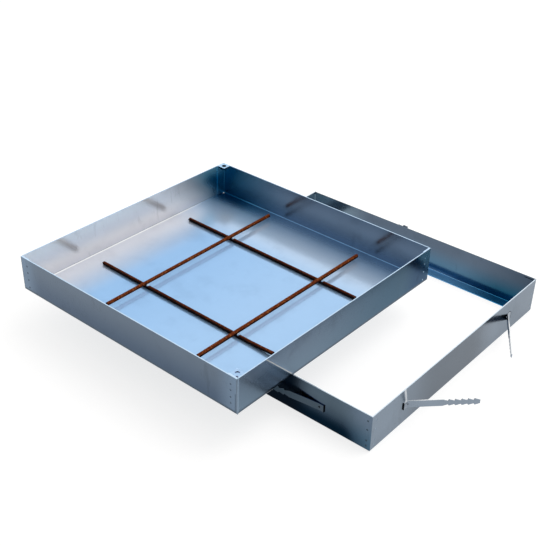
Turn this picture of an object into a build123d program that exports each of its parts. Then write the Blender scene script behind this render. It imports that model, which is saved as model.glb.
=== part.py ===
"""Recessed inspection cover: an infill tray of folded sheet, resting askew on its ground frame.

Lengths are in millimetres and angles in degrees. X and Y run along the frame's sides, front is -Y,
right is +X and Z is up. The tray group and the frame group are each drawn from their own front left
outer corner. At the end the whole part is moved so that its origin is the middle of its box, on the
ground that the frame stands on.
"""

import os

from build123d import *

# Sheet of the tray and the frame
sheet = 2.0
bend_inner = 1.5

# Infill tray, a folded sheet
tray_side = 600.0
tray_height = 80.0
flap_length = 24.0
corner_seam = 0.5
corner_hole = 4.8
corner_hole_inset = 4.5

# Fit of the tray in its frame, when closed
closing_clearance = 2.5

# Where the tray lies on the frame's rim now
tray_left = -172.4
tray_front = -147.0
tray_yaw = -0.65

# Reinforcing bars: distance from the wall they run along, at their first and last end, and their end gaps
bar_diameter = 8.0
front_bar_y = (172.9, 169.4)
front_bar_gaps = (48.0, 64.0)
front_bar_lift = 3.0
back_bar_y = (162.8, 168.5)
back_bar_gaps = (45.0, 66.0)
left_bar_x = (184.2, 178.6)
left_bar_gaps = (64.0, 34.0)
right_bar_x = (158.5, 159.0)
right_bar_gaps = (62.5, 40.5)

# Lifting plates in two corners of the tray
plate_side = 20.0
plate_thick = 3.0
plate_hole = 9.0
plate_corner_clearance = 1.5

# Ground frame
flange_width = 27.0

# Angles inside the frame's corners
angle_leg = 25.0
angle_thick = 1.5
angle_bend = 1.5
angle_foot_gap = 2.5
angle_top_gap = 4.0

# Ground anchors: a foot on the wall, a bend with a hole in it, and a barbed blade
strap_width = 15.0
strap_thick = 2.0
foot_length = 11.0
foot_round = 0.6
strap_bend_inner = 2.0
strap_hole = 4.0
blade_plain = 66.0
blade_taper = 10.0
barb_count = 5
barb_pitch = 12.2
barb_rise = 2.0
barb_root_width = 8.6

# Where the anchors' feet start: height of the middle, and distances from the corners
foot_middle = 43.0
near_foot = 100.5
far_foot = 104.5

# How far each anchor is bent out, by its wall and the corner that it starts from
anchor_angles = {
    "front_left": 5.0,
    "front_right": 7.0,
    "right_front": 45.0,
    "right_back": 32.0,
    "back_right": 10.0,
    "back_left": 26.0,
    "left_back": 6.0,
    "left_front": 4.0,
}

# Spot welds: shallow round dents, by distance from the corner and heights above the sheet's foot
weld_diameter = 4.0
weld_depth = 0.35
tray_welds = {
    "front_start": (18.5, (12.0, 30.0, 47.0, 62.5)),
    "front_end": (15.3, (20.0, 33.3, 48.7, 62.0)),
    "right_start": (8.0, (10.6,)),
    "right_end": (19.0, (10.3, 30.0, 49.5, 63.4)),
    "left_start": (17.0, (11.0, 30.0, 48.0, 62.0)),
}
frame_weld_heights = (11.0, 23.0, 48.0, 68.0)
frame_weld_near = 13.0
frame_weld_far = 9.0

# Sizes that follow from the ones above
bend_outer = bend_inner + sheet
bar_radius = bar_diameter / 2
angle_foot = bend_outer + angle_foot_gap
frame_side = tray_side + 2 * (closing_clearance + sheet)
frame_height = tray_height + sheet
low, middle, high = Align.MIN, Align.CENTER, Align.MAX


def block(x, y, z):
    """A box between two values on each axis."""
    size = [span[1] - span[0] for span in (x, y, z)]
    return Pos(x[0], y[0], z[0]) * Box(*size, align=(low, low, low))


def quarter_bend(inner, thick, length):
    """A quarter tube along Z about its own axis, in the quadrant of -X and -Y."""
    outer = inner + thick
    ring = Cylinder(outer, length, align=(middle, middle, low))
    ring -= Cylinder(inner, length, align=(middle, middle, low))
    return ring & Box(outer, outer, length, align=(high, high, low))


def turned(shape, side, quarters):
    """The shape turned by quarter turns about the middle of a square with its corner at the origin."""
    return Pos(side / 2, side / 2, 0) * Rot(0, 0, 90 * quarters) * Pos(-side / 2, -side / 2, 0) * shape


def foot_fold(start, end):
    """The fold at the foot of a wall on Y = 0, between two distances along the wall."""
    return Pos(start, bend_outer, bend_outer) * Rot(90, 90, 0) * quarter_bend(bend_inner, sheet, end - start)


def weld_dents(distance, heights):
    """Shallow round dents in the outer face of a wall on Y = 0."""
    dent = Rot(-90, 0, 0) * Cylinder(weld_diameter / 2, weld_depth, align=(middle, middle, low))
    return [Pos(distance, 0, height) * dent for height in heights]


def corner_flap():
    """What a tray wall on Y = 0 bends round its start: a vertical fold and a flap inside the next wall."""
    height = tray_height - bend_outer
    fold = Pos(sheet + bend_outer, bend_outer, bend_outer) * quarter_bend(bend_inner, sheet, height)
    return fold + block((sheet, 2 * sheet), (bend_outer, flap_length), (bend_outer, tray_height))


def tray_wall(flap_at_start, flap_at_end):
    """One tray wall on Y = 0. An end without a flap covers the next wall's flap, up to the corner."""
    start = sheet + bend_outer if flap_at_start else corner_seam
    end = tray_side - (sheet + bend_outer if flap_at_end else corner_seam)
    fold_start = bend_outer if flap_at_start else corner_seam
    fold_end = tray_side - (bend_outer if flap_at_end else corner_seam)
    wall = block((start, end), (0, sheet), (bend_outer, tray_height)) + foot_fold(fold_start, fold_end)
    if flap_at_start:
        wall += corner_flap()
    if flap_at_end:
        wall += mirror(corner_flap(), about=Plane.YZ.offset(tray_side / 2))
    return wall


def cover_tray():
    """The infill tray: a floor, four folded walls, a hole in each lower corner and spot-welded flaps."""
    tray = block((bend_outer, tray_side - bend_outer), (bend_outer, tray_side - bend_outer), (0, sheet))
    for quarters, flaps in enumerate(((False, False), (True, False), (True, True), (False, True))):
        tray += turned(tray_wall(*flaps), tray_side, quarters)
    hole = Cylinder(corner_hole / 2, bend_outer, align=(middle, middle, low))
    for quarters in range(4):
        tray -= turned(Pos(corner_hole_inset, corner_hole_inset, 0) * hole, tray_side, quarters)
    quarters_of = {"front": 0, "right": 1, "left": 3}
    for place, (distance, heights) in tray_welds.items():
        wall, end = place.split("_")
        along = distance if end == "start" else tray_side - distance
        for dent in weld_dents(along, heights):
            tray -= turned(dent, tray_side, quarters_of[wall])
    return tray


def bar(start, end, height):
    """A level round bar between two points of the tray."""
    first = Vector(*start, height)
    run = Vector(*end, height) - first
    return Plane(origin=first, z_dir=run) * Cylinder(bar_radius, run.length, align=(middle, middle, low))


def bars():
    """Two bars on the floor and two across them. The front one curves up past the last crossing."""
    lower = sheet + bar_radius
    upper = lower + bar_diameter
    crossing = tray_side - max(right_bar_x) + bar_diameter
    start, end = front_bar_gaps[0], tray_side - front_bar_gaps[1]
    share = (crossing - start) / (end - start)
    crossing_y = front_bar_y[0] + share * (front_bar_y[1] - front_bar_y[0])
    front = bar((start, front_bar_y[0]), (crossing, crossing_y), lower)
    curved = end - crossing
    rise_radius = (curved**2 + front_bar_lift**2) / (2 * front_bar_lift)
    run = Vector(end - crossing, front_bar_y[1] - crossing_y, 0)
    section = Plane(origin=(crossing, crossing_y, lower), z_dir=run) * Circle(bar_radius)
    across = Vector(run.Y, -run.X, 0).normalized()
    axis = Axis((crossing, crossing_y, lower + rise_radius), across)
    turn = 2 * Vector(curved, 0, 0).get_angle(Vector(curved, 0, front_bar_lift))
    front += revolve(section, axis=axis, revolution_arc=turn)
    back = bar((back_bar_gaps[0], tray_side - back_bar_y[0]),
               (tray_side - back_bar_gaps[1], tray_side - back_bar_y[1]), lower)
    left = bar((left_bar_x[0], left_bar_gaps[0]), (left_bar_x[1], tray_side - left_bar_gaps[1]), upper)
    right = bar((tray_side - right_bar_x[0], right_bar_gaps[0]),
                (tray_side - right_bar_x[1], tray_side - right_bar_gaps[1]), upper)
    return {
        "bar_lower_front": front,
        "bar_lower_back": back,
        "bar_upper_left": left,
        "bar_upper_right": right,
    }


def lifting_plate():
    """A flat plate with a hole, its corner at the origin chamfered to clear the tray's vertical fold."""
    outline = Rectangle(plate_side, plate_side, align=(low, low))
    outline = chamfer(outline.vertices().sort_by_distance((0, 0))[0], bend_inner + plate_corner_clearance)
    outline -= Pos(plate_side / 2, plate_side / 2) * Circle(plate_hole / 2)
    return extrude(outline, plate_thick)


def lifting_plates():
    """The two plates, flush with the tray's rim, each against a wall and a flap."""
    seat = Pos(sheet, 2 * sheet, tray_height - plate_thick) * lifting_plate()
    mirrored_seat = Pos(2 * sheet, sheet, tray_height - plate_thick) * lifting_plate()
    return {
        "lifting_plate_front_right": turned(mirrored_seat, tray_side, 1),
        "lifting_plate_back_left": turned(seat, tray_side, 3),
    }


def frame_wall():
    """One frame side on Y = 0: it butts on the wall before it, covers the next, and its flange is mitred."""
    side = block((0, frame_side), (0, sheet), (bend_outer, frame_height)) + foot_fold(0, frame_side)
    side += block((0, frame_side), (bend_outer, flange_width), (0, sheet))
    side -= block((0, sheet), (0, sheet), (bend_outer, frame_height))
    mitre = make_face(Polyline((0, 0), (0, flange_width), (flange_width, flange_width), close=True))
    mitre = extrude(mitre, bend_outer)
    side -= mitre
    side -= mirror(mitre, about=Plane.YZ.offset(frame_side / 2))
    for dent in weld_dents(frame_weld_near, frame_weld_heights):
        side -= dent
    for dent in weld_dents(frame_side - frame_weld_far, frame_weld_heights):
        side -= dent
    return side


def corner_angle():
    """A small angle that stands in the frame's corner at the origin, against both walls."""
    height = frame_height - angle_foot - angle_top_gap
    outer = angle_bend + angle_thick
    fold = Pos(outer, outer, 0) * quarter_bend(angle_bend, angle_thick, height)
    legs = block((outer, angle_leg), (0, angle_thick), (0, height))
    legs += block((0, angle_thick), (outer, angle_leg), (0, height))
    return Pos(sheet, sheet, angle_foot) * (legs + fold)


def blade_outline():
    """Half of the blade's outline, from bend to tip: full width, a taper, then barbs that point back."""
    full, root = strap_width / 2, barb_root_width / 2
    points = [(0, full), (blade_plain, full), (blade_plain + blade_taper, root)]
    for barb in range(barb_count):
        notch = blade_plain + blade_taper + barb * barb_pitch
        points += [(notch + barb_rise, full), (notch + barb_pitch, root)]
    return points


def anchor(angle):
    """A ground anchor: its foot starts at the origin, X runs along the wall and Y points outwards."""
    foot = block((0, foot_length), (0, strap_thick), (-strap_width / 2, strap_width / 2))
    corner = foot.edges().filter_by(Axis.Z).sort_by_distance((0, strap_thick, 0))[0]
    foot = fillet(corner, min(foot_round, 0.9 * strap_thick))
    upper = blade_outline()
    lower = [(x, -z) for x, z in reversed(upper)]
    outline = Plane.XZ * make_face(Polyline(*upper, *lower, close=True))
    blade = Pos(foot_length, strap_thick, 0) * extrude(outline, strap_thick)
    pivot = Pos(foot_length, strap_thick + strap_bend_inner, 0)
    section = Plane.YZ.offset(foot_length) * Pos(strap_thick / 2, 0) * Rectangle(strap_thick, strap_width)
    bend = revolve(section, axis=Axis(pivot.position, (0, 0, 1)), revolution_arc=angle)
    whole = foot + bend + pivot * Rot(0, 0, angle) * pivot.inverse() * blade
    drill = Rot(-90, 0, 0) * Cylinder(strap_hole / 2, 3 * strap_thick)
    drill = Pos(foot_length, strap_thick / 2, 0) * drill
    return whole - pivot * Rot(0, 0, angle / 2) * pivot.inverse() * drill


def frame_nodes():
    """The four sides, the four corner angles and the eight anchors, in order round the frame."""
    nodes = {}
    walls = {
        "front": ("left", "right"),
        "right": ("front", "back"),
        "back": ("right", "left"),
        "left": ("back", "front"),
    }
    corners = ("front_left", "front_right", "back_right", "back_left")
    for quarters, (wall, (near, far)) in enumerate(walls.items()):
        near_anchor = anchor(anchor_angles[f"{wall}_{near}"])
        far_anchor = anchor(anchor_angles[f"{wall}_{far}"])
        pieces = {
            f"frame_side_{wall}": frame_wall(),
            f"corner_angle_{corners[quarters]}": corner_angle(),
            f"anchor_{wall}_{near}": Pos(near_foot, 0, foot_middle) * Rot(180, 0, 0) * near_anchor,
            f"anchor_{wall}_{far}": Pos(frame_side - far_foot, 0, foot_middle) * Rot(0, 0, 180) * far_anchor,
        }
        nodes.update({name: turned(piece, frame_side, quarters) for name, piece in pieces.items()})
    return nodes


def main():
    """Place the tray group on the frame's rim, centre the whole and write one file for each node."""
    tray_place = Pos(tray_left, tray_front, frame_height) * Rot(0, 0, tray_yaw)
    tray_group = {"cover_tray": cover_tray(), **bars(), **lifting_plates()}
    nodes = {name: tray_place * shape for name, shape in tray_group.items()}
    nodes.update(frame_nodes())
    boxes = [shape.bounding_box() for shape in nodes.values()]
    lowest = [min(values) for values in zip(*(box.min for box in boxes))]
    highest = [max(values) for values in zip(*(box.max for box in boxes))]
    ground_middle = Vector((lowest[0] + highest[0]) / 2, (lowest[1] + highest[1]) / 2, lowest[2])
    os.makedirs("parts", exist_ok=True)
    for name, shape in nodes.items():
        export_step(Pos(-ground_middle) * shape, f"parts/{name}.step")
    print("ground middle in the frame's own coordinates", ground_middle)


main()
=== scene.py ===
from math import cos, pi, radians, sin

import bmesh
import bpy
from mathutils import Matrix, Vector, noise


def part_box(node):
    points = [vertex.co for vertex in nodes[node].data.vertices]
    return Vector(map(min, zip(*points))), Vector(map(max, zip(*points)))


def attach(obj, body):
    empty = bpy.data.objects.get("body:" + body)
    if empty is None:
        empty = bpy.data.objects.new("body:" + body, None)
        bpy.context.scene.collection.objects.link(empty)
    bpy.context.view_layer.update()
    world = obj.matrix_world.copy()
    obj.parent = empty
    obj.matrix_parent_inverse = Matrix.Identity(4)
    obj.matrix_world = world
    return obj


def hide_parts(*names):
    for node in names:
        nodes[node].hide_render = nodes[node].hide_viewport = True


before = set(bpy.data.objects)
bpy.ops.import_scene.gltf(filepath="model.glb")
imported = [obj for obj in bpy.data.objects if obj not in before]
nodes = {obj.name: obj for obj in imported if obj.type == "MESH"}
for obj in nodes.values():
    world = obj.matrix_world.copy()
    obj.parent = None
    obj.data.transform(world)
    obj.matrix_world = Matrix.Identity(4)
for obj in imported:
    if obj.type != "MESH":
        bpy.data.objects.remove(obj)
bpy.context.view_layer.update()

# Camera and studio
# The camera stands where the photo was taken from, about 2.1 m from the cover and looking down on it at 33
# degrees. The floor is plain and pale, and a soft sky, brighter behind the cover, lights it with one lamp.
photo_width = 546
photo_centre = (279.3, 294.8)
focal_pixels = 970.5
camera_place = Vector((1.035, -1.3798, 1.1919))
camera_heading, camera_dip, camera_roll = radians(129.16), radians(33.28), radians(-1.54)
scene = bpy.context.scene


def put(name, data):
    """A new object in the scene."""
    made = bpy.data.objects.new(name, data)
    scene.collection.objects.link(made)
    return made


lens = bpy.data.cameras.new("photo_camera")
lens.sensor_fit = "HORIZONTAL"
lens.lens = focal_pixels / photo_width * lens.sensor_width
lens.shift_x = (photo_width / 2 - photo_centre[0]) / photo_width
lens.shift_y = (photo_centre[1] - photo_width / 2) / photo_width
lens.clip_start, lens.clip_end = 0.05, 60
camera = put("photo_camera", lens)
turn = Matrix.Rotation(camera_heading - pi / 2, 4, "Z") @ Matrix.Rotation(pi / 2 - camera_dip, 4, "X")
camera.matrix_world = Matrix.Translation(camera_place) @ turn @ Matrix.Rotation(-camera_roll, 4, "Z")
scene.camera = camera
scene.view_settings.view_transform = "Standard"


def clear_tree(owner):
    """The emptied node tree of a world or a material."""
    owner.use_nodes = True
    owner.node_tree.nodes.clear()
    return owner.node_tree


def add(tree, kind, inputs=None, **settings):
    """A node with its settings, and inputs that are values or sockets to link."""
    new = tree.nodes.new(kind)
    for name, value in settings.items():
        setattr(new, name, value)
    for key, value in (inputs or {}).items():
        if isinstance(value, bpy.types.NodeSocket):
            tree.links.new(value, new.inputs[key])
        else:
            new.inputs[key].default_value = value
    return new


def calc(tree, operation, first, second=0.0):
    """The result of one sum."""
    return add(tree, "ShaderNodeMath", {0: first, 1: second}, operation=operation).outputs[0]


def vector_calc(tree, operation, first, second, result="Value"):
    """The result of one sum on two vectors, a number or, where result says so, a vector."""
    return add(tree, "ShaderNodeVectorMath", {0: first, 1: second}, operation=operation).outputs[result]


def is_shown(tree):
    """1 for rays that show the background: the camera's, and those from shiny or clear surfaces."""
    path = add(tree, "ShaderNodeLightPath").outputs
    shiny = calc(tree, "MAXIMUM", path["Is Glossy Ray"], path["Is Transmission Ray"])
    return calc(tree, "MAXIMUM", path["Is Camera Ray"], shiny)


white = (1.0, 1.0, 1.0, 1.0)
sky_light, sky_level, sky_slope = (0.97, 0.985, 1.0, 1.0), 0.66, (0.12, 0.36, 0.1)
world = bpy.data.worlds.new("studio_sky")
scene.world = world
sky = clear_tree(world)
direction = add(sky, "ShaderNodeTexCoord").outputs["Generated"]
slope = vector_calc(sky, "DOT_PRODUCT", direction, sky_slope)
brightness = calc(sky, "MAXIMUM", calc(sky, "ADD", slope, sky_level), 0.0)
light = add(sky, "ShaderNodeBackground", {"Color": sky_light, "Strength": brightness})
seen = add(sky, "ShaderNodeBackground", {"Color": white, "Strength": 1.0})
both = add(sky, "ShaderNodeMixShader", {0: is_shown(sky), 1: light.outputs[0], 2: seen.outputs[0]})
add(sky, "ShaderNodeOutputWorld", {"Surface": both.outputs[0]})

lamp_data = bpy.data.lights.new("soft_lamp", "AREA")
lamp_data.shape = "DISK"
lamp_data.size = 2.4
lamp_data.energy = 26
lamp = put("soft_lamp", lamp_data)
lamp.location = (0.5, 0.9, 2.6)
lamp.rotation_euler = (-lamp.location).to_track_quat("-Z", "Y").to_euler()
lamp.visible_glossy = False

floor_half, floor_grey, floor_glow = 12.0, (0.4, 0.39, 0.38, 1.0), 0.73
floor_mesh = bpy.data.meshes.new("studio_floor")
floor_corners = [(x * floor_half, y * floor_half, 0) for x, y in ((-1, -1), (1, -1), (1, 1), (-1, 1))]
floor_mesh.from_pydata(floor_corners, [], [(0, 1, 2, 3)])
floor = put("studio_floor", floor_mesh)
floor_paint = bpy.data.materials.new("pale_floor")
tree = clear_tree(floor_paint)
paint = add(tree, "ShaderNodeBsdfDiffuse", {"Color": floor_grey})
shown_glow = calc(tree, "MULTIPLY", is_shown(tree), floor_glow)
glow = add(tree, "ShaderNodeEmission", {"Color": white, "Strength": shown_glow})
whole = add(tree, "ShaderNodeAddShader", {0: paint.outputs[0], 1: glow.outputs[0]})
add(tree, "ShaderNodeOutputMaterial", {"Surface": whole.outputs[0]})
floor_mesh.materials.append(floor_paint)

# Cover tray
# One folded sheet of bright 2 mm steel, 600 mm square and 80 mm deep, with its corner flaps spot-welded. Its
# colours by place hold painted reflections and shade: the sky's blue in the floor, grey surroundings in the
# walls, and a painted highlight on the rim.
tray_side, tray_depth, sheet = 0.6, 0.08, 0.002
tray_turn = radians(-0.65)
tray_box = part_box("cover_tray")
tray_corner = Vector((tray_box[0][0], tray_box[0][1] - tray_side * sin(tray_turn), tray_box[0][2]))


def in_tray(x, y, z):
    """A point given from the tray's front left lower corner."""
    return tray_corner + Matrix.Rotation(tray_turn, 3, "Z") @ Vector((x, y, z))


def step(tree, value, start, end, low=0.0, high=1.0):
    """A smooth change from low to high while the value goes from start to end."""
    settings = {"Value": value, "From Min": start, "From Max": end, "To Min": low, "To Max": high}
    return add(tree, "ShaderNodeMapRange", settings, interpolation_type="SMOOTHSTEP").outputs[0]


def blend(tree, share, first, second, kind="MIX"):
    """One colour blended into another."""
    ends = [value if isinstance(value, bpy.types.NodeSocket) else (*value, 1.0) for value in (first, second)]
    inputs = {0: share, 6: ends[0], 7: ends[1]}
    return add(tree, "ShaderNodeMix", inputs, data_type="RGBA", blend_type=kind).outputs[2]


def mottle(tree, vector, scale, detail, roughness=0.5, distortion=0.0):
    """A cloudy pattern from 0 to 1."""
    inputs = {"Vector": vector, "Scale": scale, "Detail": detail, "Roughness": roughness,
              "Distortion": distortion}
    return add(tree, "ShaderNodeTexNoise", inputs).outputs["Fac"]


def stretch(tree, vector, scale):
    """A place multiplied along each axis, which draws a pattern on it out or together."""
    return add(tree, "ShaderNodeMapping", {"Vector": vector, "Scale": scale}).outputs[0]


def split(tree, vector):
    """A vector's three numbers."""
    return add(tree, "ShaderNodeSeparateXYZ", {0: vector}).outputs


def facing_up(tree, normal="True Normal"):
    """How far a face looks up: 1 for a floor's, 0 for a wall's and -1 for an underside's."""
    return split(tree, add(tree, "ShaderNodeNewGeometry").outputs[normal])[2]


def declare(tree, in_out, sockets):
    """Gives a group its named inputs or outputs."""
    for name, kind in sockets.items():
        tree.interface.new_socket(name, in_out=in_out, socket_type="NodeSocket" + kind)


grain_draw, drip_draw = (30.0, 700.0, 700.0), (46.0, 46.0, 15.0)
smudge_share, grain_share = 0.06, 0.08


def rolled_sheet_group():
    """Rolled bright sheet: clouds in its shade, a fine grain along one direction, dull smudges and stains."""
    group = bpy.data.node_groups.new("rolled_sheet", "ShaderNodeTree")
    declare(group, "INPUT", {"Vector": "Vector", "Colour": "Color", "Clouds": "Float", "Stains": "Float",
                             "Roughness": "Float"})
    declare(group, "OUTPUT", {"Colour": "Color", "Roughness": "Float", "Height": "Float"})
    given = add(group, "NodeGroupInput").outputs
    place = given["Vector"]
    cloud = mottle(group, place, scale=14.0, detail=5.0, roughness=0.6)
    grain = mottle(group, stretch(group, place, grain_draw), scale=1.0, detail=3.0)
    smudge = step(group, mottle(group, place, scale=17.0, detail=3.0, roughness=0.55), 0.5, 0.75)
    drawn = stretch(group, place, drip_draw)
    drip = mottle(group, drawn, scale=1.0, detail=4.0, roughness=0.62, distortion=0.6)
    stain = calc(group, "MULTIPLY", step(group, drip, 0.54, 0.68), step(group, cloud, 0.46, 0.58))
    stain = calc(group, "MULTIPLY", stain, given["Stains"])
    swing = calc(group, "MULTIPLY", calc(group, "SUBTRACT", cloud, 0.5), given["Clouds"])
    smudge = calc(group, "MULTIPLY", smudge, smudge_share)
    shade = calc(group, "SUBTRACT", calc(group, "ADD", swing, 1.0), smudge)
    shade = calc(group, "SUBTRACT", shade, stain)
    tone = add(group, "ShaderNodeCombineColor", {0: shade, 1: shade, 2: shade}).outputs[0]
    colour = blend(group, 1.0, given["Colour"], tone, "MULTIPLY")
    rough = calc(group, "ADD", given["Roughness"], smudge)
    ridges = calc(group, "MULTIPLY", calc(group, "SUBTRACT", grain, 0.5), grain_share)
    rough = calc(group, "ADD", rough, ridges)
    add(group, "NodeGroupOutput", {"Colour": colour, "Roughness": rough, "Height": grain})
    return group


rolled_sheet = rolled_sheet_group()


def sheet_material(name, colour, clouds, stains, roughness):
    """Bright rolled steel, coloured by a function of place, less metallic where pale or almost black."""
    material = bpy.data.materials.new(name)
    tree = clear_tree(material)
    vector = add(tree, "ShaderNodeTexCoord").outputs["Object"]
    on_walls = step(tree, calc(tree, "ABSOLUTE", facing_up(tree)), 0.8, 0.5, low=0.2)
    stains = calc(tree, "MULTIPLY", on_walls, stains)
    inputs = {"Vector": vector, "Colour": colour(tree, vector), "Clouds": clouds, "Stains": stains,
              "Roughness": roughness}
    look = add(tree, "ShaderNodeGroup", inputs, node_tree=rolled_sheet).outputs
    bump = add(tree, "ShaderNodeBump", {"Height": look["Height"], "Strength": 0.05, "Distance": 0.00005})
    green = add(tree, "ShaderNodeSeparateColor", {0: look["Colour"]}).outputs["Green"]
    if_pale, if_dark = step(tree, green, 0.5, 0.2, low=0.6), step(tree, green, 0.01, 0.06, low=0.2)
    metal = calc(tree, "MULTIPLY", if_pale, if_dark)
    inputs = {"Base Color": look["Colour"], "Metallic": metal, "Roughness": look["Roughness"],
              "Specular IOR Level": 0.0, "Normal": bump.outputs[0]}
    steel = add(tree, "ShaderNodeBsdfPrincipled", inputs)
    add(tree, "ShaderNodeOutputMaterial", {"Surface": steel.outputs[0]})
    return material


def dress(material, *names):
    """Gives CAD nodes a material in place of their own."""
    for name in names:
        nodes[name].data.materials.clear()
        nodes[name].data.materials.append(material)


def nearest(tree, *distances):
    """The smallest of several distances."""
    least = distances[0]
    for distance in distances[1:]:
        least = calc(tree, "MINIMUM", least, distance)
    return least


def near_any(tree, vector, points, radius):
    """Whether a place is within a radius of one of several points."""
    distances = [vector_calc(tree, "DISTANCE", vector, point) for point in points]
    return calc(tree, "LESS_THAN", nearest(tree, *distances), radius)


def gap(tree, value, place):
    """How far a value is from a place."""
    return calc(tree, "ABSOLUTE", calc(tree, "SUBTRACT", value, place))


skin, inner_depth = 0.1 * sheet, 0.95 * sheet


def in_dent(tree, depth):
    """Whether a place is in a weld's shallow dent, a little below the outer face."""
    below = calc(tree, "GREATER_THAN", depth, skin)
    return calc(tree, "MULTIPLY", below, calc(tree, "LESS_THAN", depth, sheet / 2))


unseen_slate = (0.3, 0.38, 0.47)
# The painted reflection of the frame's rim on the tray's right wall lies along this line.
rim_image = 0.1555  # y + z along the mirror image of the frame's rim in the right wall
flap_seam, seam_half_width, seam_top, seam_fade = 0.0046, 0.0007, 0.045, 0.002
plate_shade_radius = 0.016


def tray_inside(tree, place, x, y, z, back):
    """Painted reflections in a pale blue floor, a warm grey left wall and a slate back wall, with deep blue
    painted shade towards the back left corner and dark painted shadow under the plates.
    """
    # The floor's colours are painted reflections: pale by the left wall, sky blue, paler towards the back,
    # and a deep blue mirror image of the dark back wall next to it.
    floor = blend(tree, step(tree, x, 0.005, 0.13), (0.87, 0.89, 0.95), (0.34, 0.57, 0.88))
    floor = blend(tree, step(tree, x, 0.13, 0.5), floor, (0.42, 0.64, 0.92))
    floor = blend(tree, step(tree, y, 0.4, 0.53), floor, (0.64, 0.79, 0.98))
    far_floor_reflection = blend(tree, step(tree, x, 0.02, 0.23), (0.015, 0.19, 0.36), (0.15, 0.3, 0.5))
    floor = blend(tree, step(tree, y, 0.494, tray_side), floor, far_floor_reflection)

    upper = step(tree, z, 0.045, tray_depth)
    # The inner walls' greys are painted reflections, with painted warm light high on the front part, a thin
    # painted shade line just above the bend, and deep blue painted shade towards the back left corner.
    wall = blend(tree, step(tree, z, 0.03, sheet), (0.8, 0.77, 0.76), (0.65, 0.65, 0.69))
    wall = blend(tree, calc(tree, "MULTIPLY", upper, step(tree, y, 0.42, 0.3)), wall, (1.0, 0.92, 0.84))
    bend_shade_line = calc(tree, "LESS_THAN", gap(tree, z, 2.2 * sheet), 0.3 * sheet)
    wall = blend(tree, bend_shade_line, wall, (0.42, 0.43, 0.46))
    painted_corner_shade = step(tree, calc(tree, "ADD", y, calc(tree, "MULTIPLY", z, 0.9)), 0.513, 0.613)
    wall = blend(tree, painted_corner_shade, wall, blend(tree, upper, (0.02, 0.27, 0.42), (0.2, 0.46, 0.58)))

    # The back wall's slate is a painted reflection, darker high up and deep blue at its left end.
    back_wall = blend(tree, step(tree, z, 0.04, 0.0), (0.18, 0.215, 0.26), (0.22, 0.26, 0.33))
    back_wall = blend(tree, upper, back_wall, (0.14, 0.168, 0.205))
    back_wall = blend(tree, step(tree, x, 0.015, 0.25), (0.022, 0.125, 0.2), back_wall)
    wall = blend(tree, calc(tree, "LESS_THAN", back, 1.8 * sheet), wall, back_wall)

    inside = blend(tree, calc(tree, "LESS_THAN", z, 1.5 * sheet), wall, floor)
    # A painted white highlight along the bend at the foot of the left wall, on its front part.
    left_bend_highlight = calc(tree, "LESS_THAN", calc(tree, "ADD", x, z), 2.9 * sheet)
    left_bend_highlight = calc(tree, "MULTIPLY", left_bend_highlight, step(tree, y, 0.53, 0.45))
    inside = blend(tree, left_bend_highlight, inside, (1.0, 1.0, 1.0))
    # Painted shadow, almost black, in the corners below the lifting plates.
    under_plates = [(sheet, tray_side - sheet, tray_depth), (tray_side - sheet, sheet, tray_depth)]
    shade = near_any(tree, place, under_plates, plate_shade_radius)
    return blend(tree, shade, inside, (0.002, 0.004, 0.008))


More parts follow.
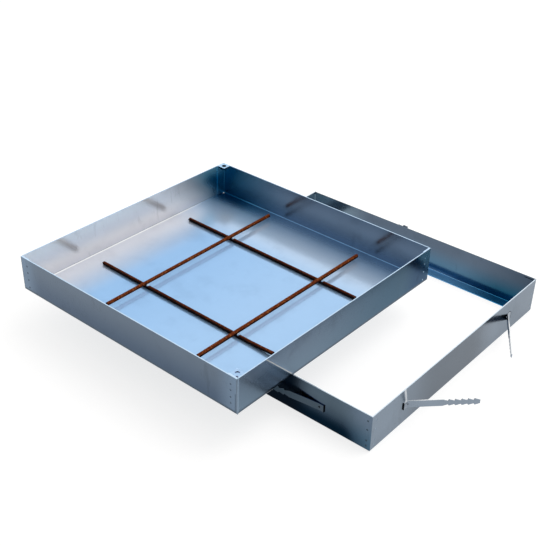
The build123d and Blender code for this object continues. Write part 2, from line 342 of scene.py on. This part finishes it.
def tray_outside(tree, x, y, z, right, back, depth):
    """Slate walls with weld dents and a seam, painted reflections and shade, a painted dark lower edge, and a
    painted mirror image of the frame's rim at right.
    """
    low = step(tree, z, tray_depth, 0.0)
    # The front's slate is a painted reflection: darker towards the bottom, where it mirrors shaded ground,
    # and lighter near both ends.
    front = blend(tree, low, (0.12, 0.158, 0.208), (0.064, 0.1, 0.157))
    front = blend(tree, step(tree, nearest(tree, x, right), 0.06, 0.0), front, (0.15, 0.215, 0.3))

    # The right wall's slate is a painted reflection: darker towards the back, deep blue low and lighter blue
    # high at the far end, with a lighter painted band towards the front.
    flank = blend(tree, low, (0.12, 0.172, 0.24), (0.125, 0.188, 0.256))
    flank = blend(tree, step(tree, y, 0.16, 0.5), flank, (0.03, 0.09, 0.15))
    slanted = calc(tree, "ADD", z, calc(tree, "MULTIPLY", y, 1.06))
    by_back = blend(tree, step(tree, slanted, 0.635, 0.675), (0.006, 0.055, 0.13), (0.175, 0.385, 0.53))
    flank = blend(tree, step(tree, y, 0.495, 0.56), flank, by_back)
    by_front = blend(tree, step(tree, z, 0.04, 0.07), (0.26, 0.37, 0.51), (0.31, 0.41, 0.55))
    over_front = calc(tree, "MULTIPLY", step(tree, slanted, 0.08, 0.1), step(tree, slanted, 0.175, 0.145))
    flank = blend(tree, over_front, flank, by_front)
    # A painted reflection of the frame's rim: a light line across the right wall.
    off_rim_image = gap(tree, calc(tree, "ADD", y, z), rim_image)
    flank = blend(tree, step(tree, off_rim_image, 0.0021, 0.0008), flank, (0.6, 0.61, 0.6))

    on_right = calc(tree, "LESS_THAN", right, sheet / 2)
    outside = blend(tree, on_right, front, flank)
    outside = blend(tree, calc(tree, "LESS_THAN", back, sheet / 2), outside, (0.26, 0.33, 0.41))
    # Painted shade: a dark band along the bottom bend, in place of the ground's light mirrored there.
    outside = blend(tree, step(tree, z, 0.009, 0.004), outside, (0.06, 0.09, 0.125))
    near_corner = nearest(tree, calc(tree, "MAXIMUM", right, y), calc(tree, "MAXIMUM", x, y))
    outside = blend(tree, step(tree, near_corner, 0.003, 0.002), outside, (0.12, 0.165, 0.22))
    on_front = calc(tree, "LESS_THAN", y, skin / 2)
    seam = calc(tree, "MULTIPLY", step(tree, z, seam_top + seam_fade, seam_top - seam_fade), on_front)
    in_seam = calc(tree, "LESS_THAN", gap(tree, right, flap_seam), seam_half_width)
    outside = blend(tree, calc(tree, "MULTIPLY", seam, in_seam), outside, (0.045, 0.065, 0.09))
    # Weld dents: darker on the front, and painted light on the right wall, brighter towards its back.
    front_dents = blend(tree, step(tree, x, 0.1, 0.5), (0.05, 0.07, 0.1), (0.1, 0.14, 0.19))
    flank_dents = blend(tree, step(tree, y, 0.1, 0.5), (0.2, 0.27, 0.35), (0.45, 0.6, 0.72))
    outside = blend(tree, in_dent(tree, depth), outside, blend(tree, on_right, front_dents, flank_dents))
    return blend(tree, calc(tree, "LESS_THAN", z, skin), outside, unseen_slate)


def tray_colour(tree, vector):
    """The tray's colours by place, with painted reflections, shade and highlights, inside, outside and on the
    rim, measured from its own corner.
    """
    inputs = {"Vector": vector_calc(tree, "SUBTRACT", vector, tray_corner, "Vector"), "Angle": -tray_turn}
    place = add(tree, "ShaderNodeVectorRotate", inputs, rotation_type="Z_AXIS").outputs[0]
    x, y, z = split(tree, place)
    right, back = calc(tree, "SUBTRACT", tray_side, x), calc(tree, "SUBTRACT", tray_side, y)
    depth = nearest(tree, x, right, y, back, z)
    outside = tray_outside(tree, x, y, z, right, back, depth)
    inside = tray_inside(tree, place, x, y, z, back)
    colour = blend(tree, calc(tree, "GREATER_THAN", depth, inner_depth), outside, inside)
    # A painted highlight of the sky on the rim's top faces.
    rim = calc(tree, "GREATER_THAN", z, tray_depth - skin)
    return blend(tree, rim, colour, (0.62, 0.8, 1.0))


tray_steel = sheet_material("tray_sheet_steel", tray_colour, clouds=0.08, stains=0.13, roughness=0.19)
dress(tray_steel, "cover_tray")

# Frame sides and corner angles
# Four angle profiles of the same sheet, welded into a square with mitred flanges, and small angles that are
# spot-welded inside the corners. Their colours hold painted reflections and shade: slate outside, a deeper
# blue at the foot inside, and a painted highlight on top.
frame_side, frame_height, flange_width = 0.609, 0.082, 0.027
frame_corner = Vector(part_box("frame_side_left")[0])
# The painted reflection of a strap on the frame's right wall lies along this line.
strap_image = 0.1225  # y + 0.24 z along the mirror image of a strap in the right wall
foot_middle, foot_length, strap_half = 0.043, 0.011, 0.001
foot_ends = (0.1005, 0.5045)
hole_shadow_radius, hole_radius, foot_end_radius = 0.0028, 0.0023, 0.0022


def round_frame(along, height):
    """One point on each wall, in the middle of a strap's thickness: on the front, right, back and left."""
    near, far, beyond = -strap_half, frame_side - along, frame_side + strap_half
    return [Vector((x, y, height)) for x, y in ((along, near), (beyond, along), (far, beyond), (near, far))]


strap_holes = [*round_frame(foot_ends[0] + foot_length, foot_middle),
               *round_frame(foot_ends[1] - foot_length, foot_middle)]


def frame_inside(tree, x, z, low, back):
    """Painted reflections and shade on the back wall: slate, a deep blue foot, a crease line and a blue
    flange; an even slate on the sides out of sight.
    """
    # Painted shade darkens the foot, the crease into the flange is painted light at the left and dark at the
    # right, and the flange's and top's blues are painted reflections.
    to_right = step(tree, x, 0.4, 0.54)
    foot = blend(tree, to_right, (0.08, 0.18, 0.28), (0.008, 0.075, 0.135))
    crease = blend(tree, step(tree, x, 0.36, 0.45), (0.32, 0.45, 0.6), (0.1, 0.18, 0.28))
    crease = blend(tree, to_right, crease, (0.004, 0.07, 0.13))
    foot = blend(tree, step(tree, z, 0.012, 0.003), foot, crease)
    top = blend(tree, step(tree, x, 0.44, 0.6), (0.1, 0.135, 0.185), (0.055, 0.08, 0.115))
    top = blend(tree, step(tree, x, 0.18, 0.05), top, (0.2, 0.28, 0.34))
    inside = blend(tree, low, top, foot)
    flange = blend(tree, to_right, (0.2, 0.5, 0.84), (0.04, 0.32, 0.6))
    inside = blend(tree, calc(tree, "LESS_THAN", z, 1.2 * sheet), inside, flange)
    return blend(tree, step(tree, back, flange_width + 0.001, 0.05), inside, unseen_slate)


def frame_outside(tree, x, y, z, low, right, depth):
    """Slate with weld dents, with painted shade, almost black, in front below the tray, and a painted
    reflection of a strap on the right.
    """
    # The front's painted shade: darker towards the bottom, lighter at the right end, almost black below the
    # tray.
    front = blend(tree, low, (0.073, 0.108, 0.142), (0.001, 0.018, 0.042))
    by_right = blend(tree, low, (0.115, 0.16, 0.22), (0.07, 0.14, 0.21))
    slanted = calc(tree, "ADD", x, calc(tree, "MULTIPLY", z, 0.3))
    front = blend(tree, step(tree, slanted, 0.55, 0.63), front, by_right)
    front = blend(tree, step(tree, x, 0.48, 0.42), front, (0.004, 0.012, 0.025))

    # The right wall's slate is a painted reflection, darker in its middle, with a painted glint where a strap
    # is mirrored.
    flank = blend(tree, step(tree, y, 0.38, 0.5), (0.166, 0.218, 0.28), (0.118, 0.162, 0.215))
    middle = calc(tree, "MULTIPLY", step(tree, y, 0.05, 0.22), step(tree, y, 0.46, 0.34))
    flank = blend(tree, middle, flank, (0.08, 0.107, 0.141))
    off_strap_image = gap(tree, calc(tree, "ADD", y, calc(tree, "MULTIPLY", z, 0.24)), strap_image)
    above_strap = calc(tree, "GREATER_THAN", z, 0.05)
    glint = calc(tree, "MULTIPLY", step(tree, off_strap_image, 0.0042, 0.002), above_strap)
    flank = blend(tree, glint, flank, (0.62, 0.66, 0.7))

    on_right = calc(tree, "LESS_THAN", right, sheet / 2)
    outside = blend(tree, on_right, (0.17, 0.215, 0.27), flank)
    outside = blend(tree, calc(tree, "LESS_THAN", y, sheet / 2), outside, front)
    # Weld dents: darker on the front, and painted light on the right wall.
    dent_colour = blend(tree, on_right, (0.05, 0.075, 0.1), (0.4, 0.5, 0.6))
    return blend(tree, in_dent(tree, depth), outside, dent_colour)


def frame_colour(tree, vector):
    """The frame's colours by place, with painted reflections, shade and highlights, inside, outside, at the
    straps' holes and on the rim, from its corner.
    """
    place = vector_calc(tree, "SUBTRACT", vector, frame_corner, "Vector")
    x, y, z = split(tree, place)
    right, back = calc(tree, "SUBTRACT", frame_side, x), calc(tree, "SUBTRACT", frame_side, y)
    depth = nearest(tree, x, right, y, back)
    low = step(tree, z, 0.07, 0.01)
    outside = frame_outside(tree, x, y, z, low, right, depth)
    # Painted shadow, almost black, on the walls around the straps' holes.
    hole_shadow_mask = near_any(tree, place, strap_holes, hole_shadow_radius)
    outside = blend(tree, hole_shadow_mask, outside, (0.004, 0.006, 0.01))
    inside = frame_inside(tree, x, z, low, back)
    colour = blend(tree, calc(tree, "GREATER_THAN", depth, inner_depth), outside, inside)
    # A painted highlight on the rim, and painted shade on the back wall's rim.
    rim = calc(tree, "GREATER_THAN", z, frame_height - skin)
    on_back = calc(tree, "LESS_THAN", back, 1.2 * sheet)
    rim_colour = blend(tree, on_back, (0.75, 0.85, 0.95), (0.1, 0.14, 0.19))
    return blend(tree, rim, colour, rim_colour)


frame_steel = sheet_material("frame_sheet_steel", frame_colour, clouds=0.14, stains=0.12, roughness=0.18)
dress(frame_steel, *(name for name in nodes if name.startswith(("frame_side_", "corner_angle_"))))

# Ground anchors
# Barbed straps of bright 15 mm strip, welded by a short foot to the frame's sides. Each has a hole at its
# bend, so that it bends out easily to be cast in. The upper edges carry a painted highlight, and the cut ends
# are painted almost black, as raw steel and as shade.


def strap_colour(tree, vector):
    """Slate grey with painted highlights on the upper edges, and painted shade in front, where the straps lie
    under the tray.
    """
    place = vector_calc(tree, "SUBTRACT", vector, frame_corner, "Vector")
    x, y, _ = split(tree, place)
    # Faces turned up carry a painted highlight.
    up = step(tree, facing_up(tree), 0.4, 0.8)
    plain = blend(tree, up, (0.25, 0.3, 0.36), (0.98, 0.99, 1.0))
    # In front, under the tray, the straps are painted in shade, with a blue painted reflection on their upper
    # edges.
    shaded = blend(tree, step(tree, x, 0.48, 0.38), (0.055, 0.08, 0.105), (0.03, 0.05, 0.07))
    shaded = blend(tree, up, shaded, (0.03, 0.14, 0.36))
    in_front = calc(tree, "LESS_THAN", y, 0.0)
    colour = blend(tree, in_front, plain, shaded)
    # The feet's cut ends are painted almost black, as raw steel and as shade.
    ends = round_frame(foot_ends[0], 0.0) + round_frame(foot_ends[1], 0.0)
    level = add(tree, "ShaderNodeCombineXYZ", {0: x, 1: y}).outputs[0]
    colour = blend(tree, near_any(tree, level, ends, foot_end_radius), colour, (0.006, 0.01, 0.014))
    # The holes carry a painted highlight on the other walls and painted shade at the front straps.
    hole_light_and_shade = blend(tree, in_front, (0.9, 0.94, 1.0), (0.004, 0.006, 0.01))
    return blend(tree, near_any(tree, place, strap_holes, hole_radius), colour, hole_light_and_shade)


anchor_steel = sheet_material("anchor_strap_steel", strap_colour, clouds=0.12, stains=0.0, roughness=0.24)
dress(anchor_steel, *(name for name in nodes if name.startswith("anchor_")))

# Lifting plates
# Small bright plates, 3 mm thick, welded level with the rim into two opposite corners of the tray. Each has a
# round hole for the lifting key.
plate_thickness, key_hole, hole_edge = 0.003, 0.0045, 0.0004
plate_names = ("lifting_plate_front_right", "lifting_plate_back_left")
plate_holes = []
for name in plate_names:
    (left, front, _), (right, back, top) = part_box(name)
    plate_holes.append(Vector(((left + right) / 2, (front + back) / 2, top - plate_thickness / 2)))
dot_place, dot_radius = 0.0055, 0.0022
plate_dot = in_tray(tray_side - dot_place, dot_place, tray_depth)


def plate_colour(tree, vector):
    """A pale blue painted sky reflection, faintly mottled, whiter at the back, with painted shade in the hole
    and on the cut edges, and dark in a dot.
    """
    at_back = calc(tree, "GREATER_THAN", split(tree, vector)[1], 0.0)
    # The pale blue is a painted reflection of the sky.
    pale = blend(tree, at_back, (0.46, 0.66, 0.92), (0.48, 0.72, 0.97))
    clouds = step(tree, mottle(tree, vector, scale=160.0, detail=3.0), 0.4, 0.65)
    colour = blend(tree, clouds, pale, blend(tree, 0.12, pale, (0.0, 0.1, 0.3)))
    colour = blend(tree, near_any(tree, vector, [plate_dot], dot_radius), colour, (0.1, 0.12, 0.22))
    # Painted shade on the cut edges.
    colour = blend(tree, calc(tree, "LESS_THAN", facing_up(tree), 0.5), colour, (0.01, 0.05, 0.09))
    # Painted shade in the key holes, grey at the front plate and black at the back one.
    hole = blend(tree, at_back, (0.28, 0.3, 0.46), (0.003, 0.005, 0.008))
    dark_radius = calc(tree, "ADD", calc(tree, "MULTIPLY", at_back, 0.001), key_hole + hole_edge)
    return blend(tree, near_any(tree, vector, plate_holes, dark_radius), colour, hole)


plate_steel = sheet_material("lifting_plate_steel", plate_colour, clouds=0.08, stains=0.0, roughness=0.26)
dress(plate_steel, *plate_names)

# Reinforcing bars
# Ribbed 8 mm bars with a brown coat of rust, two on the tray's floor and two across them. The front one is
# bent up a little past its crossing. Faces turned up are painted lighter as light, the sides and the lower
# bars almost black as painted shade, and in mirror images the upper ones' undersides glow with painted light
# as from the floor.
bar_core, bar_rib, rib_pitch = 0.0039, 0.0003, 0.0056
rib_slant, rib_sweep, rib_end = 0.55, 150, 0.15
lower_bars, upper_bars = sheet + 0.004, sheet + 0.012
bar_paths = {
    "bar_lower_front": [(0.048, 0.1729, lower_bars), (0.449, 0.17002, lower_bars),
                        (0.478, 0.16982, lower_bars + 0.0003), (0.507, 0.16961, lower_bars + 0.0013),
                        (0.536, 0.1694, lower_bars + 0.003)],
    "bar_lower_back": [(0.045, 0.4372, lower_bars), (0.534, 0.4315, lower_bars)],
    "bar_upper_left": [(0.1842, 0.064, upper_bars), (0.1786, 0.566, upper_bars)],
    "bar_upper_right": [(0.4415, 0.0625, upper_bars), (0.441, 0.5595, upper_bars)],
}
bar_turns = {"bar_lower_front": 0.5, "bar_lower_back": 1.1, "bar_upper_left": 0.2, "bar_upper_right": 0.9}


def bar_rust():
    """Brown rust with specks and wear, painted brighter on top as light, almost black on the sides and on the
    lower bars as painted shade, with a painted glow below in mirror images.
    """
    material = bpy.data.materials.new("bar_rust")
    tree = clear_tree(material)
    vector = add(tree, "ShaderNodeTexCoord").outputs["Object"]
    _, along, height = split(tree, vector)
    patches = mottle(tree, vector, scale=60.0, detail=6.0, roughness=0.65)
    specks = mottle(tree, vector, scale=260.0, detail=3.0)
    up = facing_up(tree, "Normal")
    on_upper = step(tree, height, tray_corner.z + lower_bars, tray_corner.z + upper_bars)
    # Painted light and shade mixed with wear: faces turned up and the upper bars are lighter, in patches, and
    # the rest is almost black.
    wear_and_top_light = calc(tree, "ADD", calc(tree, "MULTIPLY", up, 0.7), patches)
    wear_and_top_light = step(tree, calc(tree, "ADD", wear_and_top_light, calc(tree, "MULTIPLY", on_upper, 0.45)), 0.95, 1.3)
    # The lower bars' rust is painted darker, as shade.
    rust_with_lower_shade = blend(tree, on_upper, (0.026, 0.005, 0.002), (0.12, 0.021, 0.004))
    colour = blend(tree, wear_and_top_light, (0.004, 0.0015, 0.0015), rust_with_lower_shade)
    spotted = calc(tree, "MULTIPLY", step(tree, specks, 0.5, 0.66), wear_and_top_light)
    colour = blend(tree, calc(tree, "MULTIPLY", spotted, on_upper), colour, (0.27, 0.08, 0.018))
    # A painted glow on the upper bars' undersides, seen only in mirror images, in place of light from the
    # floor; it fades towards the back.
    in_mirror = calc(tree, "MULTIPLY", on_upper, add(tree, "ShaderNodeLightPath").outputs["Is Glossy Ray"])
    lit_below = calc(tree, "MULTIPLY", step(tree, up, 0.15, -0.3), in_mirror)
    fading = step(tree, along, tray_corner.y + 0.36, tray_corner.y + 0.5, low=1.0, high=0.3)
    floor_light = blend(tree, calc(tree, "MULTIPLY", lit_below, fading), (0.0, 0.0, 0.0), (1.0, 0.84, 0.86))
    bump = add(tree, "ShaderNodeBump", {"Height": specks, "Strength": 0.5, "Distance": 0.0004})
    inputs = {"Base Color": colour, "Roughness": 0.8, "Specular IOR Level": 0.08, "Normal": bump.outputs[0],
              "Emission Color": floor_light, "Emission Strength": 1.0}
    coat = add(tree, "ShaderNodeBsdfPrincipled", inputs)
    add(tree, "ShaderNodeOutputMaterial", {"Surface": coat.outputs[0]})
    return material


def ribbed_bar_tree():
    """A bar along a path: a round core, two lengthwise ribs and, between them, slanted crescent ribs."""
    tree = bpy.data.node_groups.new("ribbed_bar", "GeometryNodeTree")
    declare(tree, "INPUT", {"Path": "Geometry", "Core Radius": "Float", "Rib Height": "Float",
                            "Rib Pitch": "Float", "Turn": "Float", "Material": "Material"})
    declare(tree, "OUTPUT", {"Bar": "Geometry"})
    given = add(tree, "NodeGroupInput").outputs
    core, height, pitch = given["Core Radius"], given["Rib Height"], given["Rib Pitch"]
    path = add(tree, "GeometryNodeMeshToCurve", {"Mesh": given["Path"]}).outputs[0]
    path = add(tree, "GeometryNodeResampleCurve", {"Curve": path, "Length": pitch}, mode="LENGTH").outputs[0]
    path = add(tree, "GeometryNodeSetCurveNormal", {"Curve": path}, mode="Z_UP").outputs[0]
    path = add(tree, "GeometryNodeSetCurveTilt", {"Curve": path, "Tilt": given["Turn"]}).outputs[0]

    def circle(sides, radius):
        """A round profile."""
        inputs = {"Resolution": sides, "Radius": radius}
        return add(tree, "GeometryNodeCurvePrimitiveCircle", inputs).outputs["Curve"]

    def sweep(line, profile, **scale):
        """A closed solid with a profile drawn along a line."""
        inputs = {"Curve": line, "Profile Curve": profile, "Fill Caps": True, **scale}
        return add(tree, "GeometryNodeCurveToMesh", inputs).outputs[0]

    def moved(shape, **change):
        """A shape turned or carried to another place."""
        return add(tree, "GeometryNodeTransform", {"Geometry": shape, **change}).outputs[0]

    parts = [sweep(path, circle(20, core))]
    bead = circle(6, calc(tree, "MULTIPLY", height, 1.4))
    arc = {"Resolution": 11, "Radius": calc(tree, "MULTIPLY", core, 0.99),
           "Start Angle": radians((180 - rib_sweep) / 2), "Sweep Angle": radians(rib_sweep)}
    crescent = add(tree, "GeometryNodeCurveArc", arc).outputs["Curve"]
    swell = calc(tree, "MULTIPLY", add(tree, "GeometryNodeSplineParameter").outputs["Factor"], pi)
    swell = calc(tree, "ADD", calc(tree, "MULTIPLY", calc(tree, "SINE", swell), 1 - rib_end), rib_end)
    across = split(tree, add(tree, "GeometryNodeInputPosition").outputs[0])[0]
    slant = add(tree, "ShaderNodeCombineXYZ", {2: calc(tree, "MULTIPLY", across, rib_slant)}).outputs[0]
    rib = sweep(crescent, bead, Scale=swell)
    rib = add(tree, "GeometryNodeSetPosition", {"Geometry": rib, "Offset": slant}).outputs[0]
    points = add(tree, "GeometryNodeCurveToPoints", {"Curve": path}, mode="EVALUATED").outputs
    for side in (0.0, pi):
        turned = moved(rib, Rotation=(0.0, 0.0, side))
        inputs = {"Points": points["Points"], "Instance": turned, "Rotation": points["Rotation"]}
        parts.append(add(tree, "GeometryNodeInstanceOnPoints", inputs).outputs[0])
        offset = add(tree, "ShaderNodeCombineXYZ", {0: calc(tree, "MULTIPLY", core, cos(side))}).outputs[0]
        parts.append(sweep(path, moved(bead, Translation=offset)))
    joined = add(tree, "GeometryNodeJoinGeometry")
    for part in parts:
        tree.links.new(part, joined.inputs[0])
    real = add(tree, "GeometryNodeRealizeInstances", {"Geometry": joined.outputs[0]}).outputs[0]
    smooth = add(tree, "GeometryNodeSetShadeSmooth", {"Geometry": real}).outputs[0]
    inputs = {"Geometry": smooth, "Material": given["Material"]}
    add(tree, "NodeGroupOutput", {"Bar": add(tree, "GeometryNodeSetMaterial", inputs).outputs[0]})
    return tree


rust = bar_rust()
bar_tree = ribbed_bar_tree()
bar_sockets = {item.name: item.identifier for item in bar_tree.interface.items_tree if item.in_out == "INPUT"}
for name, path in bar_paths.items():
    line = bpy.data.meshes.new(name + "_path")
    line.from_pydata([in_tray(*point) for point in path], [(i, i + 1) for i in range(len(path) - 1)], [])
    carrier = put(name + "_path", line)
    ribs = carrier.modifiers.new("ribbed_bar", "NODES")
    ribs.node_group = bar_tree
    for key, value in (("Core Radius", bar_core), ("Rib Height", bar_rib), ("Rib Pitch", rib_pitch),
                       ("Turn", bar_turns[name]), ("Material", rust)):
        ribs[bar_sockets[key]] = value
    depsgraph = bpy.context.evaluated_depsgraph_get()
    mesh = bpy.data.meshes.new_from_object(carrier.evaluated_get(depsgraph))
    bpy.data.objects.remove(carrier)
    piece = put("ribbed_" + name, mesh)
    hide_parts(name)
    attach(piece, "root")

# Tack welds
# A small bead of weld joins the bars at each crossing, on the side away from the tray's left wall. It is
# bright metal with a pale blue painted highlight, a little rippled, and darker where it has scaled.
crossings = ((0.183, 0.1719), (0.4412, 0.17005), (0.1796, 0.4357), (0.4411, 0.4326))
bead_aside, bead_height, bead_ripple = 0.0054, sheet + 0.0082, 0.12
bead_half = (0.0026, 0.0036, 0.0024)


def bead_colour(tree, vector):
    """Bright metal with a pale blue painted highlight, darker where the weld has scaled."""
    scaled = step(tree, mottle(tree, vector, scale=700.0, detail=2.0), 0.42, 0.62)
    return blend(tree, scaled, (0.62, 0.82, 1.0), (0.25, 0.34, 0.42))


bead_steel = sheet_material("weld_bead_steel", bead_colour, clouds=0.1, stains=0.0, roughness=0.3)
for number, (x, y) in enumerate(crossings, 1):
    shape = bmesh.new()
    bmesh.ops.create_icosphere(shape, subdivisions=3, radius=1.0)
    for vertex in shape.verts:
        co = vertex.co * (1 + bead_ripple * noise.noise(vertex.co * 2.2 + Vector((number, 0, 0))))
        vertex.co = in_tray(x + bead_aside + co.x * bead_half[0], y + co.y * bead_half[1],
                            bead_height + co.z * bead_half[2])
    mesh = bpy.data.meshes.new(f"tack_weld_{number}")
    shape.to_mesh(mesh)
    shape.free()
    mesh.shade_smooth()
    mesh.materials.append(bead_steel)
    bead = put(f"tack_weld_{number}", mesh)
    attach(bead, "root")
